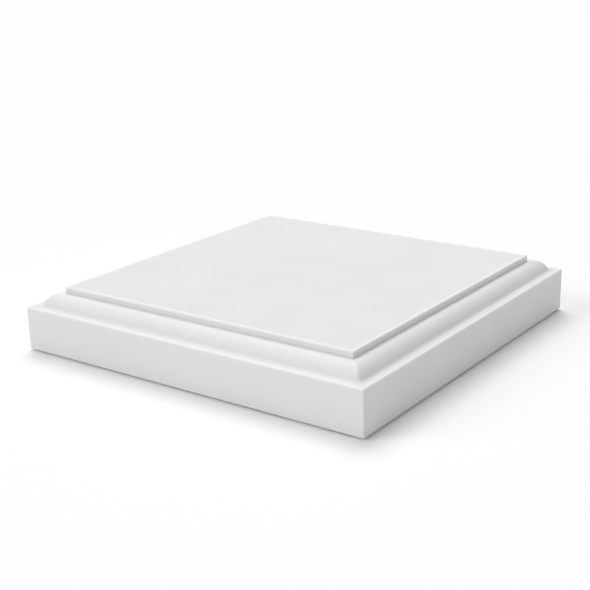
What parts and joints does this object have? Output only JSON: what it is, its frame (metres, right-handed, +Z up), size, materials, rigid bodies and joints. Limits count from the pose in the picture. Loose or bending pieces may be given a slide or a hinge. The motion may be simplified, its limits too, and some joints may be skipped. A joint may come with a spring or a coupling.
{
  "type": "newel post cap",
  "caption": "Square flat-topped newel post cap: a plain fascia, a narrow ledge, a mitred quarter-round, a level shoulder and a thin top plate, cast solid with a flat underside.",
  "frame": {"origin": "centre of the flat underside, where the cap sits on the post", "axes": "+Z up, away from the post; +X and +Y square to two neighbouring sides of the cap"},
  "size_m": [0.2444, 0.2444, 0.0381],
  "materials": {
    "primed_urethane": "smooth white factory primer on rigid high-density urethane, satin to matte"
  },
  "bodies": {
    "root": {"newel_post_cap": "primed_urethane"}
  },
  "joints": []
}
